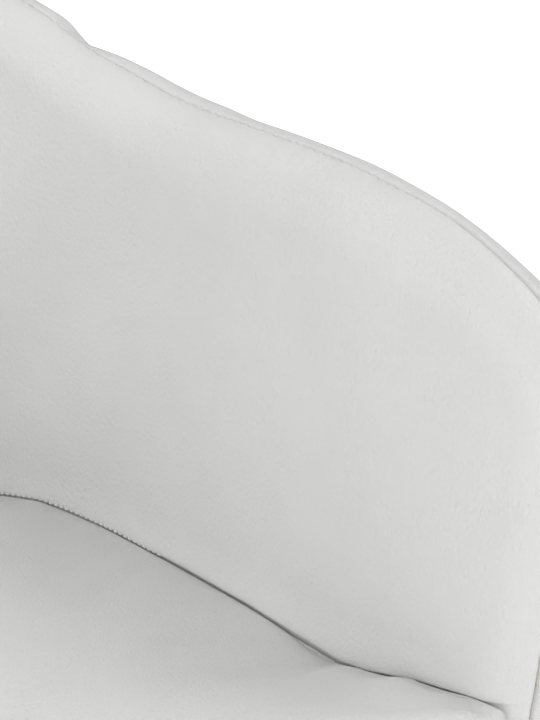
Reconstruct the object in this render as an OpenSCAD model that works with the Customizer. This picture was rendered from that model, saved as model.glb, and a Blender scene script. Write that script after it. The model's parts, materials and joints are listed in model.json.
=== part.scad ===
// Pedicure stool: an upholstered tub seat on a short gas lift and a five-star caster base.
// The origin is on the floor under the column. The stool faces -Y and +Z is up.
// Everything is drawn with the gas lift at its lowest setting.

/* [Tub seat] */
// Inside width between the arms at the seat crease
seat_w = 430; // [410:5:450]
// Depth of the rounded back half, from the column to the inner back at the crease
back_depth = 200; // [190:5:210]
// Length of the straight arms, from the column to their front ends
arm_depth = 190; // [180:5:200]
// Height of the crease between seat and tub wall above the floor
crease_z = 385; // [380:1:400]
// Padded thickness of the tub wall
wall_t = 50; // [44:1:56]
// Outward lean of the tub wall, in degrees
wall_lean = 6.4; // [4:0.1:8]
// Height of the rim above the crease along the arms
arm_rise = 206; // [190:1:220]
// Height of the rim above the crease at the back
back_rise = 288; // [270:1:310]
// Height of the cushion's middle above the crease
seat_crown = 22; // [12:1:26]
// How far the seat front bows out past the arms
front_bow = 25; // [10:1:30]

/* [Covers and boards] */
// Thickness of the leatherette covers
cover_t = 1.6; // [1.2:0.1:2]
// Thickness of the plywood inner shell of the tub
shell_t = 12; // [9:1:15]
// Thickness of the seat board
board_t = 15; // [12:1:18]

/* [Gas lift] */
// Outside diameter of the fixed column tube
column_d = 50; // [50:1:50]
// Outside diameter of the sliding gas cylinder
cylinder_d = 28; // [28:1:28]
// Diameter of the piston rod
rod_d = 10; // [8:1:10]
// Height of the top of the column tube above the floor
column_top = 228; // [224:1:228]

/* [Base and casters] */
// Radius from the column to each caster stem
base_r = 262; // [250:2:280]
// Diameter of the caster wheels
wheel_d = 50; // [50:1:50]
// Width of one caster wheel
wheel_w = 17; // [15:1:17]
// Trail from each caster stem to its axle
trail = 22; // [20:1:24]

/* [Hidden] */
$fn = 96;
ARMS = 5;
CASTER_NODES = ["caster_hood", "caster_stem", "caster_axle", "caster_wheel_left", "caster_wheel_right"];

// Upholstery sizes worked out from the driving ones
seat_hw = seat_w/2;            // half the inside width
plan_n = 2.6;                  // roundness exponent of the back half of the plan
lean = tan(wall_lean);         // outward shift of the wall per unit of height
half_wall = wall_t/2;
tub_bottom = 298;              // lower edge of the upholstery
board_z = 300;                 // underside of the seat board
board_top = board_z + board_t;
foam_bottom = board_top + 1.6; // clears the tee-nut flanges
fit_gap = 0.4;                 // clearance between neighbouring soft layers
foam_gap = 1.2;                // clearance of the tub foam under its covers
board_gap = 3;                 // setback of the seat board behind the cushion's front
sweep_from = 6;                // Y where the rim starts to climb from the arms
sweep_to = 224;                // Y where that climb would level out
nose_l = 260;                  // length of the falling curve at the front of each arm
nose_h = 106;                  // height of that curve
nose_n = 2.75;                 // roundness exponent of that curve
front_roll = 17;               // radius of the cushion's rolled front edge
climb_h = 20;                  // rise of the cushion's edge against the front of each arm
climb_from = -104;             // Y where that rise starts
climb_l = 76;                  // length over which it grows
front_sink = 0.3;              // share of that rise lost at the open front

// Seam positions along the wall profile: 0 to 1 inner face, 1 to 2 rounded rim, 2 to 3 outer face
inner_seam_u = 1.46;
outer_seam_u = 1.88;
seam_gap_u = 0.01;

// Metalwork heights above the floor
hub_z = 66;
hub_top = 118;
rod_bottom = 56;
plate_z = 267;
plate_t = 3;
cylinder_bottom = 84;
cylinder_top = 276;
taper_bottom = 236;
taper_drop = 1;                // loss of radius over the cylinder's taper
socket_z = 59;                 // underside of the arm tips, above the caster collars
socket_top = 84;
stem_r = 5.5;
pivot_x = 58;
lever_z = 288;
tee_x = 65;
tee_y = 72;

// ---- upholstery outlines ----

function smoother(t) = let (c = max(0, min(1, t))) c*c*c*(c*(6*c - 15) + 10);

// Height of the rim above the crease at depth y
function rim_h(y) =
  let (d = max(0, nose_l - arm_depth - y)/nose_l)
  arm_rise + (back_rise - arm_rise)*smoother((y - sweep_from)/(sweep_to - sweep_from))
  - nose_h*(1 - pow(max(0, 1 - pow(d, nose_n)), 1/nose_n));

// A station of the tub plan: [x, y, outward nx, outward ny, share of the full thickness]
function arm_station(side, y, share) = [side*seat_hw, y, side, 0, share];
function back_station(a) =
  let (s = sin(a), c = max(0, cos(a)),
       x = seat_hw*sign(s)*pow(abs(s), 2/plan_n), y = back_depth*pow(c, 2/plan_n),
       gx = sign(s)*pow(abs(x)/seat_hw, plan_n - 1)/seat_hw, gy = pow(y/back_depth, plan_n - 1)/back_depth,
       g = norm([gx, gy]))
  [x, y, gx/g, gy/g, 1];

nose_angles = [30, 45, 62, 90];
arm_steps = 6;
back_step = 7.5;
function arm_stations(side) = concat(
  [for (b = nose_angles) arm_station(side, -arm_depth + half_wall*(1 - cos(b)), sin(b))],
  [for (i = [1:arm_steps - 1]) arm_station(side, -(arm_depth - half_wall)*(1 - i/arm_steps), 1)]
);
function reversed(list) = [for (i = [len(list) - 1:-1:0]) list[i]];
STATIONS = concat(
  arm_stations(1),
  [for (a = [90:-back_step:-90]) back_station(a)],
  reversed(arm_stations(-1))
);

// A point of the tub wall at profile position u, set in from its surface by inset
function wall_point(st, u, inset, bottom) =
  let (r = half_wall - inset, spring = rim_h(st[1]) - half_wall, low = bottom - crease_z,
       arc = 180*(2 - min(2, max(1, u))),
       h = u < 1 ? low + (spring - low)*u : u > 2 ? spring + (low - spring)*(u - 2) : spring + r*sin(arc),
       o = lean*h + half_wall + st[4]*r*cos(arc))
  [st[0] + st[2]*o, st[1] + st[3]*o, crease_z + h];

// Triangles across a ring of n points, laid like rungs between its first and second half
function ladder(n) = concat(
  [for (k = [0:floor((n - 3)/2)]) [k, k + 1, n - 1 - k]],
  [for (k = [0:floor((n - 4)/2)]) [k + 1, n - 2 - k, n - 1 - k]]
);

// A closed solid through rings of points, all with the same number of points. The first bands, as many as
// turned, split their quads along the other diagonal.
module loft(rings, turned = 0) {
  n = len(rings[0]);
  last = len(rings) - 1;
  polyhedron(
    points = [for (ring = rings) each ring],
    faces = concat(
      ladder(n),
      [for (i = [0:last - 1], j = [0:n - 1], half = [0, 1])
        let (a = i*n + j, b = i*n + (j + 1)%n)
        i < turned ? (half == 0 ? [a, a + n, b] : [b, a + n, b + n])
          : (half == 0 ? [a, a + n, b + n] : [a, b + n, b])],
      [for (t = ladder(n)) [last*n + t[2], last*n + t[1], last*n + t[0]]]
    ),
    convexity = 8
  );
}

// A layer of the tub wall between two insets, over the profile positions us
module wall_layer(us, outer, inner, bottom) {
  loft([for (st = STATIONS) concat(
    [for (u = us) wall_point(st, u, outer, bottom)],
    [for (u = reversed(us)) wall_point(st, u, inner, bottom)]
  )]);
}

// The seat plan as a closed outline: rounded back, straight arms and a bowed front, [x, y, nx, ny]
front_corner = 20;
function corner_station(side, a) =
  let (x = seat_hw - front_corner*(1 - cos(a)), y = front_corner*(1 - sin(a)) - arm_depth)
  [side*x, y, side*cos(a), -sin(a)];
function bow_station(x) =
  let (half = seat_hw - front_corner, slope = 2*front_bow*x/(half*half), g = norm([slope, 1]))
  [x, -arm_depth - front_bow*(1 - x*x/(half*half)), slope/g, -1/g];
bow_steps = 8;
FRONT_PLAN = concat(
  [for (a = [30, 60]) corner_station(-1, a)],
  [for (i = [0:bow_steps]) bow_station((seat_hw - front_corner)*(2*i/bow_steps - 1))],
  [for (a = [60, 30]) corner_station(1, a)]
);
SEAT_PLAN = concat(
  [for (a = [90:-back_step:-90]) back_station(a)],
  [for (y = [-30:-45:-120]) arm_station(-1, y, 1)],
  [corner_station(-1, 0)],
  FRONT_PLAN,
  [corner_station(1, 0)],
  [for (y = [-120:45:-30]) arm_station(1, y, 1)]
);
function shifted(plan, out) = [for (p = plan) [p[0] + p[2]*out, p[1] + p[3]*out]];

// How far the cushion's edge climbs at the front ends of the arms, and a little less along the front
function edge_climb(p) = climb_h*smoother((climb_from - p[1])/climb_l)*(1 + front_sink*min(0, p[3]));

// The seat plan at height h above the crease, set in by side_in beside the wall and front_in at the open
// front, then shrunk towards the middle by scale. It follows the wall's lean and takes a share of the climb.
function seat_ring(h, side_in, front_in, scale = 1, share = 0) =
  [for (p = SEAT_PLAN)
    let (front = max(0, -p[3]), z = h + share*edge_climb(p),
         o = lean*z*(1 - front) - side_in - (front_in - side_in)*front)
    [(p[0] + p[2]*o)*scale, (p[1] + p[3]*o)*scale, crease_z + z]];

// The crowned cushion: close to the wall at its sides and back, its front edge rolled to radius front_roll.
// Rows are [height above the crease, side inset, front inset, scale, share of the climb]
CROWN_ROWS = [
  [-front_roll, 0, 0, 1, 0],
  [-0.45*front_roll, 0, 0.15*front_roll, 1, 0.6],
  [-0.15*front_roll, 0.4, 0.47*front_roll, 1, 0.9],
  [0, 2.5, front_roll, 1, 1],
  [0.11*seat_crown, 0, 0, 0.9, 0.9],
  [0.41*seat_crown, 0, 0, 0.76, 0.5],
  [0.68*seat_crown, 0, 0, 0.6, 0.2],
  [0.86*seat_crown, 0, 0, 0.45, 0],
  [seat_crown, 0, 0, 0.2, 0]
];
function pad_rings(bottom, inset, drop) = concat(
  [seat_ring(bottom - crease_z, inset, inset)],
  [for (r = CROWN_ROWS) seat_ring(r[0] - drop, r[1] + inset, r[2] + inset, r[3], r[4])]
);

// The seat board's outline: wide under the tub wall, notched beside the apron and set back behind it
board_out = half_wall + 11;
ARM_TIP = [
  [board_out, 26 - arm_depth], [board_out - 12, 7 - arm_depth],
  [3, 6 - arm_depth], [-3, 24 - arm_depth]
];
module board_outline() {
  polygon(concat(
    shifted([for (a = [90:-back_step:-90]) back_station(a)], board_out),
    [for (p = ARM_TIP) [-seat_hw - p[0], p[1]]],
    shifted(FRONT_PLAN, -board_gap),
    [for (p = reversed(ARM_TIP)) [seat_hw + p[0], p[1]]]
  ));
}

// ---- tub and seat ----

INNER_US = [0, 0.3, 0.65, 1, 1.15, 1.3, inner_seam_u - seam_gap_u];
BAND_US = [inner_seam_u + seam_gap_u, 1.55, 1.64, 1.73, 1.81, outer_seam_u - seam_gap_u];
OUTER_US = [outer_seam_u + seam_gap_u, 2, 2.35, 2.7, 3];
FOAM_US = [0, 0.5, 1, 1.25, 1.5, 1.75, 2, 2.5, 3];
SHELL_US = [0, 0.5, 1, 1.33, 1.67, 2, 2.5, 3];
shell_inset = (wall_t - shell_t)/2;
wall_bottom = board_top + 0.3; // the wall's inner parts stand on the seat board

module inner_cover() {
  color("white") wall_layer(INNER_US, 0, cover_t, wall_bottom);
}

module rim_band() {
  color("whitesmoke") {
    wall_layer(BAND_US, 0, cover_t, tub_bottom);
    for (side = [-1, 1]) arm_front(side);
  }
}

module outer_cover() {
  color("white") wall_layer(OUTER_US, 0, cover_t, tub_bottom);
}

// The strip of the band that closes the front end of an arm
module arm_front(side) {
  tip = arm_station(side, -arm_depth + half_wall*(1 - cos(nose_angles[0])), sin(nose_angles[0]));
  us = [0, 1, 1.25, 1.5, 1.75, 2, 3];
  translate([0, tip[1] - fit_gap/2, 0]) rotate([90, 0, 0]) linear_extrude(cover_t)
    polygon([for (u = us) let (p = wall_point(tip, u, 0, tub_bottom)) [p[0], p[2]]]);
}

module tub_foam() {
  color("lightyellow") wall_layer(FOAM_US, cover_t + foam_gap, shell_inset - 1, wall_bottom);
}

module tub_shell() {
  color("burlywood") difference() {
    loft([for (st = STATIONS) [for (u = SHELL_US) wall_point(st, u, shell_inset, wall_bottom)]]);
    shell_screw_places() cylinder(r = 2.05, h = 26);
  }
}

// Screw axes under the tub shell, starting at the underside of the board
module shell_screw_places() {
  o = lean*(board_top + 8 - crease_z) + half_wall;
  for (a = [-75:30:75]) let (p = back_station(a))
    translate([p[0] + p[2]*o, p[1] + p[3]*o, board_top - 1]) children();
  for (side = [-1, 1]) translate([side*(seat_hw + o), -arm_depth*0.55, board_top - 1]) children();
}

module shell_screws() {
  color("dimgray") shell_screw_places() {
    translate([0, 0, -board_t + 1]) cylinder(r1 = 4, r2 = 2, h = 3);
    translate([0, 0, -board_t + 4]) cylinder(r = 2, h = board_t + 18);
  }
}

module seat_board() {
  color("burlywood") difference() {
    translate([0, 0, board_z]) linear_extrude(board_t) board_outline();
    tee_places() cylinder(r = 4.05, h = board_t + 2);
    shell_screw_places() translate([0, 0, -board_t]) {
      cylinder(r = 2.05, h = board_t + 2);
      cylinder(r1 = 5.05, r2 = 2.05, h = 4.5);
    }
  }
}

module tee_places() {
  for (sx = [-1, 1], sy = [-1, 1]) translate([sx*tee_x, sy*tee_y, board_z - 1]) children();
}

module tee_nuts() {
  color("silver") tee_places() difference() {
    union() {
      translate([0, 0, 4]) cylinder(r = 4, h = board_t - 3);
      translate([0, 0, board_t + 1]) cylinder(r = 9, h = 1.2);
    }
    cylinder(r = 3.05, h = board_t + 4);
  }
}

module plate_bolts() {
  color("silver") tee_places() {
    translate([0, 0, -6]) cylinder(r = 5.77, h = 4, $fn = 6);
    translate([0, 0, -2]) cylinder(r = 3, h = board_t);
  }
}

module dust_cover() {
  color("black") difference() {
    translate([0, 0, tub_bottom + 0.4]) linear_extrude(1) offset(delta = -6) board_outline();
    translate([-92, -96, tub_bottom - 5]) cube([184, 192, 10]);
  }
}

module seat_foam() {
  color("lightyellow") loft(pad_rings(foam_bottom, cover_t + 3*fit_gap, cover_t + fit_gap));
}

// The cover's inside surface from the top down, then its outside surface from the bottom up. The inside is
// split along the same diagonals as the foam below it.
module seat_cover() {
  bottom = board_top + 0.6;
  inside = reversed(pad_rings(bottom, cover_t + 2*fit_gap, cover_t));
  color("white") loft(concat(inside, pad_rings(bottom, 2*fit_gap, 0)), len(inside) - 1);
}

// The strip that closes the front of the board below the cushion
module front_apron() {
  color("white") translate([0, 0, tub_bottom]) linear_extrude(board_top + 0.3 - tub_bottom)
    polygon(concat(shifted(FRONT_PLAN, -2*fit_gap), reversed(shifted(FRONT_PLAN, -2*fit_gap - cover_t))));
}

// ---- seat mechanism ----

module mech_plate() {
  channel_w = 64;
  channel_l = 160;
  flange_w = 53;
  hole_x = 46;
  color("dimgray") difference() {
    union() {
      translate([-channel_l/2, -channel_w/2, plate_z]) cube([channel_l, channel_w, plate_t]);
      for (side = [-1, 1]) flipped(side) {
        translate([-channel_l/2, channel_w/2 - plate_t, plate_z])
          cube([channel_l, plate_t, board_z - plate_z]);
        translate([-channel_l/2, channel_w/2 - plate_t, board_z - plate_t])
          cube([channel_l, flange_w, plate_t]);
      }
      translate([0, 0, taper_bottom]) cylinder(r = 21, h = plate_z - taper_bottom);
    }
    translate([0, 0, taper_bottom]) taper(0.03, cylinder_top - taper_bottom);
    tee_places() translate([0, 0, -4]) cylinder(r = 3.3, h = 8);
    translate([pivot_x, channel_w/2 + 1, lever_z]) rotate([90, 0, 0]) cylinder(r = 3.05, h = channel_w + 2);
    for (side = [-1, 1]) translate([side*hole_x, 0, plate_z - 1]) cylinder(r = 9, h = plate_t + 2);
  }
}

// A copy on the +Y side, or its mirror image on the -Y side
module flipped(side) {
  mirror([0, side < 0 ? 1 : 0, 0]) children();
}

// The self-holding taper between the gas cylinder and the seat mechanism
module taper(clearance, h) {
  cylinder(r1 = cylinder_d/2 + clearance, r2 = cylinder_d/2 - taper_drop + clearance, h = h);
}

module lever_pin() {
  color("silver") translate([pivot_x, 36, lever_z]) rotate([90, 0, 0]) cylinder(r = 3, h = 72);
}

module pin_clips() {
  clip_y = 33.6;
  color("dimgray") for (side = [-1, 1])
    translate([pivot_x, side*clip_y + 0.5, lever_z]) rotate([90, 0, 0]) difference() {
      cylinder(r = 5.5, h = 1);
      translate([0, 0, -1]) cylinder(r = 3.02, h = 3);
    }
}

// A rod bent at its boss: presses the valve pin at its inner end and runs out under the right-hand side
lever_l = 180;
lever_slope = 7.7;
module along_lever() {
  translate([pivot_x, 0, lever_z]) rotate([0, lever_slope, 0]) children();
}

module release_lever() {
  color("silver") difference() {
    union() {
      translate([-6, 0, lever_z]) rotate([0, 90, 0]) cylinder(r = 4, h = pivot_x + 6);
      translate([pivot_x, 7, lever_z]) rotate([90, 0, 0]) cylinder(r = 7.5, h = 14);
      along_lever() rotate([0, 90, 0]) cylinder(r = 4, h = lever_l);
    }
    translate([pivot_x, 8, lever_z]) rotate([90, 0, 0]) cylinder(r = 3.05, h = 16);
  }
}

module lever_handle() {
  start = lever_l - 34;
  color("black") along_lever() difference() {
    hull() {
      for (y = [-1, 1]) {
        translate([start + 3, y*5, 0]) sphere(r = 6, $fn = 20);
        translate([lever_l + 22, y*11, 0]) sphere(r = 5, $fn = 20);
      }
    }
    translate([start - 5, 0, 0]) rotate([0, 90, 0]) cylinder(r = 4.05, h = lever_l - start + 5.5);
  }
}

// ---- gas lift ----

module ring(r_in, r_out, z0, z1) {
  translate([0, 0, z0]) difference() {
    cylinder(r = r_out, h = z1 - z0);
    translate([0, 0, -1]) cylinder(r = r_in, h = z1 - z0 + 2);
  }
}

// Radius of the base's tapered seat at height z
seat_taper = 1.4;
function column_taper(z) = 23 + seat_taper*(z - hub_z)/(hub_top - hub_z);

module column_tube() {
  wall = 1.6;
  fit = 0.05;
  r = column_d/2;
  low = column_taper(60) - fit;
  high = column_taper(hub_top) - fit;
  color("silver") rotate_extrude() polygon([
    [4.3, 60], [low, 60], [high, hub_top], [high, hub_top + 4], [r, hub_top + 18], [r, column_top],
    [r - wall, column_top], [r - wall, hub_top + 20], [high - wall, hub_top + 6], [high - wall, hub_top],
    [low - wall, 63], [4.3, 63]
  ]);
}

module guide_sleeve() {
  bore = cylinder_d/2 + 0.06;
  body = column_d/2 - 1.65;
  sleeve_bottom = 146;
  color("black") rotate_extrude() polygon([
    [bore, sleeve_bottom], [body, sleeve_bottom], [body, column_top + 0.1], [column_d/2, column_top + 0.1],
    [column_d/2, column_top + 2.5], [column_d/2 - 1, column_top + 3.5], [bore, column_top + 3.5]
  ]);
}

module column_cover() {
  color("silver") rotate_extrude() polygon(concat(
    [for (t = [0:0.125:1]) [column_d/2 + 1.6 + 9*pow(1 - t, 2.2), hub_top + 0.2 + 34*t]],
    [[column_d/2 + 0.3, hub_top + 34.2], [column_d/2 + 0.3, hub_top + 22]],
    [[column_d/2 + 6, hub_top + 2.2], [column_d/2 + 6, hub_top + 0.2]]
  ));
}

bearing_z = 63;
race_h = 2.5;
ball_r = 2;
ball_track = 9;
BALLS = 8;
upper_race_z = bearing_z + race_h + 2*ball_r;

module lower_race() {
  color("silver") ring(4.6, 13, bearing_z + 0.02, bearing_z + race_h);
}

module upper_race() {
  color("silver") ring(4.03, 13, upper_race_z, upper_race_z + race_h - 0.02);
}

module ball_places() {
  for (i = [0:BALLS - 1]) rotate(i*360/BALLS)
    translate([ball_track, 0, bearing_z + race_h + ball_r]) children();
}

module bearing_balls() {
  color("gainsboro") ball_places() sphere(r = ball_r - 0.03);
}

module bearing_cage() {
  color("goldenrod") difference() {
    ring(5, 12.5, bearing_z + race_h + 1, bearing_z + race_h + 3);
    ball_places() translate([0, 0, -3]) cylinder(r = ball_r + 0.05, h = 6);
  }
}

shoulder_z = upper_race_z + race_h;
module rubber_bumper() {
  color("black") ring(rod_d/2 + 0.05, 11, shoulder_z + 0.02, cylinder_bottom - 0.3);
}

module piston_rod() {
  r = rod_d/2;
  head = 12.3;
  head_z = 216;
  color("silver") rotate_extrude() polygon([
    [0, rod_bottom], [3.6, rod_bottom], [4, rod_bottom + 0.6], [4, 57.7], [3.2, 57.7], [3.2, 59.7], [4, 59.7],
    [4, shoulder_z], [r, shoulder_z], [r, head_z], [head, head_z], [head, head_z + 3], [head - 1, head_z + 3],
    [head - 1, head_z + 6], [head, head_z + 6], [head, head_z + 10], [0, head_z + 10]
  ]);
}

module retaining_clip() {
  color("dimgray") difference() {
    ring(3.22, 7.5, 57.8, 59.6);
    translate([0, -2.6, 57]) cube([10, 5.2, 4]);
  }
}

module gas_cylinder() {
  r = cylinder_d/2;
  bore = 12.42;
  pin = 3.06;
  color("silver") rotate_extrude() polygon([
    [rod_d/2 + 0.06, cylinder_bottom], [r - 1, cylinder_bottom], [r, cylinder_bottom + 1], [r, taper_bottom],
    [r - taper_drop, cylinder_top], [pin, cylinder_top], [pin, taper_bottom], [bore, taper_bottom],
    [bore, cylinder_bottom + 8], [rod_d/2 + 0.06, cylinder_bottom + 8]
  ]);
}

// The release button on top of the gas cylinder, domed where the lever presses it
module valve_pin() {
  r = 3;
  top = lever_z - 4.25;
  color("gainsboro") {
    translate([0, 0, taper_bottom + 8]) cylinder(r = r, h = top - r - taper_bottom - 8);
    translate([0, 0, top - r]) intersection() {
      sphere(r = r);
      translate([-r, -r, 0]) cube(2*r);
    }
  }
}

// ---- base ----

module arm_places() {
  for (i = [0:ARMS - 1]) rotate(90 + i*360/ARMS) children();
}

tip_r = 16;
// A rounded section of a base arm: distance out, half width, middle height, half height
function arm_ring(x, w, z, h, corner = 8) =
  [for (quarter = [0:3], t = [0:18:90])
    let (a = 90*quarter + t, sy = quarter == 0 || quarter == 3 ? 1 : -1, sz = quarter < 2 ? 1 : -1)
    [x, sy*(w - corner) + corner*cos(a), z + sz*(h - corner) + corner*sin(a)]];

module base_arm() {
  loft([
    arm_ring(20, 24, 96.5, 20),
    arm_ring(40, 23, 95, 19.2),
    arm_ring(base_r*0.55, 17.5, 83.6, 15.2),
    arm_ring(base_r - 10, 13.8, 73.8, 11.6),
    arm_ring(base_r, 13.2, 73.2, 11.2)
  ]);
}

module star_base() {
  color("silver") difference() {
    union() {
      rotate_extrude() polygon([
        [0, hub_z], [34, hub_z], [37, hub_z + 3], [37, hub_top - 1], [36, hub_top], [0, hub_top]
      ]);
      arm_places() {
        base_arm();
        translate([base_r, 0, 0]) rotate_extrude() polygon([
          [0, socket_z], [tip_r - 1.5, socket_z], [tip_r, socket_z + 1.5],
          [tip_r, 83], [tip_r - 4, 87], [0, 87]
        ]);
      }
    }
    translate([0, 0, hub_z])
      cylinder(r1 = column_taper(hub_z), r2 = column_taper(hub_top), h = hub_top - hub_z);
    arm_places() translate([base_r, 0, socket_z - 1]) cylinder(r = 8.02, h = socket_top - socket_z + 1.2);
  }
}

module caster_sockets() {
  color("dimgray") arm_places() translate([base_r, 0, 0]) difference() {
    translate([0, 0, socket_z + 0.1]) cylinder(r = 8, h = socket_top - socket_z - 0.1);
    translate([0, 0, socket_z - 1]) cylinder(r = stem_r + 0.05, h = 24);
  }
}

// ---- casters ----

wheel_r = wheel_d/2;
web_hw = 4;
wheel_y = 6;
collar_z = 57;

// A caster's own frame: stem on the Z axis, wheels trailing along +X
module at_caster(i) {
  rotate(90 + (i - 1)*360/ARMS) translate([base_r, 0, 0]) rotate(180) children();
}

module on_axle() {
  translate([trail, 0, wheel_r]) rotate([90, 0, 0]) children();
}

module caster_hood() {
  fender_in = wheel_r + 1.5;
  fender_out = wheel_r + 4.2;
  fender_w = 2*(wheel_y + wheel_w) + 2;
  color("black") difference() {
    union() {
      intersection() {
        on_axle() translate([0, 0, -fender_w/2]) difference() {
          cylinder(r = fender_out, h = fender_w);
          translate([0, 0, -1]) cylinder(r = fender_in, h = fender_w + 2);
        }
        translate([-20, -40, wheel_r + 1]) cube([90, 80, 60]);
      }
      on_axle() translate([0, 0, -web_hw]) cylinder(r = fender_in - 5, h = 2*web_hw);
      intersection() {
        translate([trail - fender_out + 3, -web_hw, wheel_r + 1]) cube([2*fender_out - 6, 2*web_hw, 30]);
        on_axle() translate([0, 0, -web_hw]) cylinder(r = fender_in + 1, h = 2*web_hw);
      }
      difference() {
        translate([0, 0, 34]) cylinder(r = 10, h = collar_z - 34);
        for (side = [-1, 1]) flipped(side)
          on_axle() translate([0, 0, -web_hw - wheel_w - 10]) cylinder(r = fender_in, h = wheel_w + 10);
      }
    }
    translate([0, 0, 36]) cylinder(r = stem_r + 0.02, h = 30);
    on_axle() translate([0, 0, -10]) cylinder(r = 3.02, h = 20);
  }
}

module caster_stem() {
  color("silver") {
    translate([0, 0, 36.5]) cylinder(r = stem_r, h = 43.5);
    translate([0, 0, 80]) cylinder(r1 = stem_r, r2 = stem_r - 1.5, h = 1.5);
    translate([0, 0, collar_z + 0.05]) cylinder(r = 9, h = 1.6);
  }
}

module caster_axle() {
  length = 2*(wheel_y + wheel_w) - 6;
  color("silver") on_axle() translate([0, 0, -length/2]) cylinder(r = 3, h = length);
}

// One wheel with a rounded tread and a dished outer face, on the side given by side
module caster_wheel(side) {
  w = wheel_w;
  color("dimgray") translate([trail, 0, wheel_r]) flipped(side) rotate([-90, 0, 0]) translate([0, 0, wheel_y])
    rotate_extrude() polygon([
      [3.05, 0], [wheel_r - 3, 0], [wheel_r - 0.8, 0.8], [wheel_r, 3], [wheel_r, w - 3],
      [wheel_r - 0.8, w - 0.8], [wheel_r - 3, w], [wheel_r - 5.5, w - 0.4], [wheel_r - 7.5, w - 3],
      [9, w - 2], [7, w - 0.3], [4, w],
      [0, w], [0, w - 2.4], [3.05, w - 2.4]
    ]);
}

// ---- assembly ----

star_base();
caster_sockets();
column_cover();
column_tube();
guide_sleeve();
lower_race();
bearing_cage();
bearing_balls();
piston_rod();
upper_race();
rubber_bumper();
retaining_clip();
gas_cylinder();
valve_pin();
mech_plate();
plate_bolts();
tee_nuts();
release_lever();
lever_handle();
lever_pin();
pin_clips();
seat_board();
dust_cover();
seat_foam();
seat_cover();
front_apron();
tub_shell();
shell_screws();
tub_foam();
inner_cover();
rim_band();
outer_cover();
for (i = [1:ARMS]) {
  at_caster(i) caster_hood();
  at_caster(i) caster_stem();
  at_caster(i) caster_axle();
  at_caster(i) caster_wheel(1);
  at_caster(i) caster_wheel(-1);
}
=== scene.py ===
"""Looks of the pedicure stool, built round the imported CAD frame. Shape lengths are in millimetres."""
import json
import math

import bpy
import numpy as np
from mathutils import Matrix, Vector, kdtree


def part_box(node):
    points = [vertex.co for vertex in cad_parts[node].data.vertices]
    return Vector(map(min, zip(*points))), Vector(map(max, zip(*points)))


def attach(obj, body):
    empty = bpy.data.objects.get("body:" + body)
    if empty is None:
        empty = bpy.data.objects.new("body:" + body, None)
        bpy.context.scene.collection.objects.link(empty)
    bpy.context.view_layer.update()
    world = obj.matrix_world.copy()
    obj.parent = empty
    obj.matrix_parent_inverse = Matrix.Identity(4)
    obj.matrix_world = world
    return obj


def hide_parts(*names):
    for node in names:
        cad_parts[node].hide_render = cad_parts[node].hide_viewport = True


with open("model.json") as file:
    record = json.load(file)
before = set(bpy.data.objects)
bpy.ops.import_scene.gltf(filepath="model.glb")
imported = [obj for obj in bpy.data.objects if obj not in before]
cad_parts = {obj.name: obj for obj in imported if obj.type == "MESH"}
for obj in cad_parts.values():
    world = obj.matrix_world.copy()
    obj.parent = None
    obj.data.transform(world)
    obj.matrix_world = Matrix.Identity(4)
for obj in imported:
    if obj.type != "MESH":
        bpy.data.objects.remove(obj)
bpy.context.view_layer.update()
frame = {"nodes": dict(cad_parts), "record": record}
scene = bpy.context.scene
MM = 0.001


# ---------------------------------------------------------------- sizes from the frame

def box_mm(node):
    lo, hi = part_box(node)
    return np.array(lo)/MM, np.array(hi)/MM


TUB_BOTTOM = box_mm("outer_cover")[0][2]
BOARD_TOP = box_mm("seat_board")[1][2]
WALL_BOTTOM = box_mm("tub_shell")[0][2]
CROWN = 22.0                           # rise of the cushion's middle over the crease
CREASE = box_mm("seat_cover")[1][2] - CROWN   # height of the crease between seat and tub wall
SEAT_HW = 215.0                        # half the inside width
BACK = 200.0                           # depth of the rounded back half
ARM = 190.0                            # length of the straight arms
FRONT_BOW = 25.0                       # how far the front edge bows out
PLAN_N = 2.6                           # roundness exponent of the back half
WALL_R = 25.0                          # half the padded wall thickness
LEAN = math.tan(math.radians(6.4))
ARM_RISE, BACK_RISE = 206.0, 288.0
SWEEP = (6.0, 224.0)                   # where the rim's climb to the back starts and levels out
NOSE_L, NOSE_H, NOSE_N = 260.0, 106.0, 2.75   # the falling curve at the front of each arm
SEAM_IN, SEAM_OUT = 1.46, 1.88         # where the band's two seams lie on the wall's profile
FRONT_SEAM = 36.0                      # angle round the arm's front end where the seams come down
COVER_T = 1.3                          # thickness of the tub's covers


# ---------------------------------------------------------------- small tools

def smooth(t):
    c = np.clip(t, 0, 1)
    return c*c*c*(c*(6*c - 15) + 10)


def noise2(x, y, seed):
    """Smooth value noise in -1 to 1, from a seeded grid."""
    grid = np.random.default_rng(seed).uniform(-1, 1, (256, 256))
    x, y = np.asarray(x, float), np.asarray(y, float)
    xi, yi = np.floor(x).astype(int), np.floor(y).astype(int)
    fx, fy = x - xi, y - yi
    fx, fy = fx*fx*(3 - 2*fx), fy*fy*(3 - 2*fy)
    a, b = grid[xi & 255, yi & 255], grid[(xi + 1) & 255, yi & 255]
    c, d = grid[xi & 255, (yi + 1) & 255], grid[(xi + 1) & 255, (yi + 1) & 255]
    return (a*(1 - fx) + b*fx)*(1 - fy) + (c*(1 - fx) + d*fx)*fy


def unit(v):
    return v/np.maximum(np.linalg.norm(v, axis=-1, keepdims=True), 1e-9)


def mesh_object(name, points, faces, material, smooth_shading=True):
    """A mesh object from points in mm."""
    mesh = bpy.data.meshes.new(name)
    mesh.from_pydata((np.asarray(points, float)*MM).tolist(), [], faces)
    mesh.update()
    if smooth_shading:
        mesh.polygons.foreach_set("use_smooth", [True]*len(mesh.polygons))
    obj = bpy.data.objects.new(name, mesh)
    scene.collection.objects.link(obj)
    obj.data.materials.append(material)
    return obj


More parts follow.
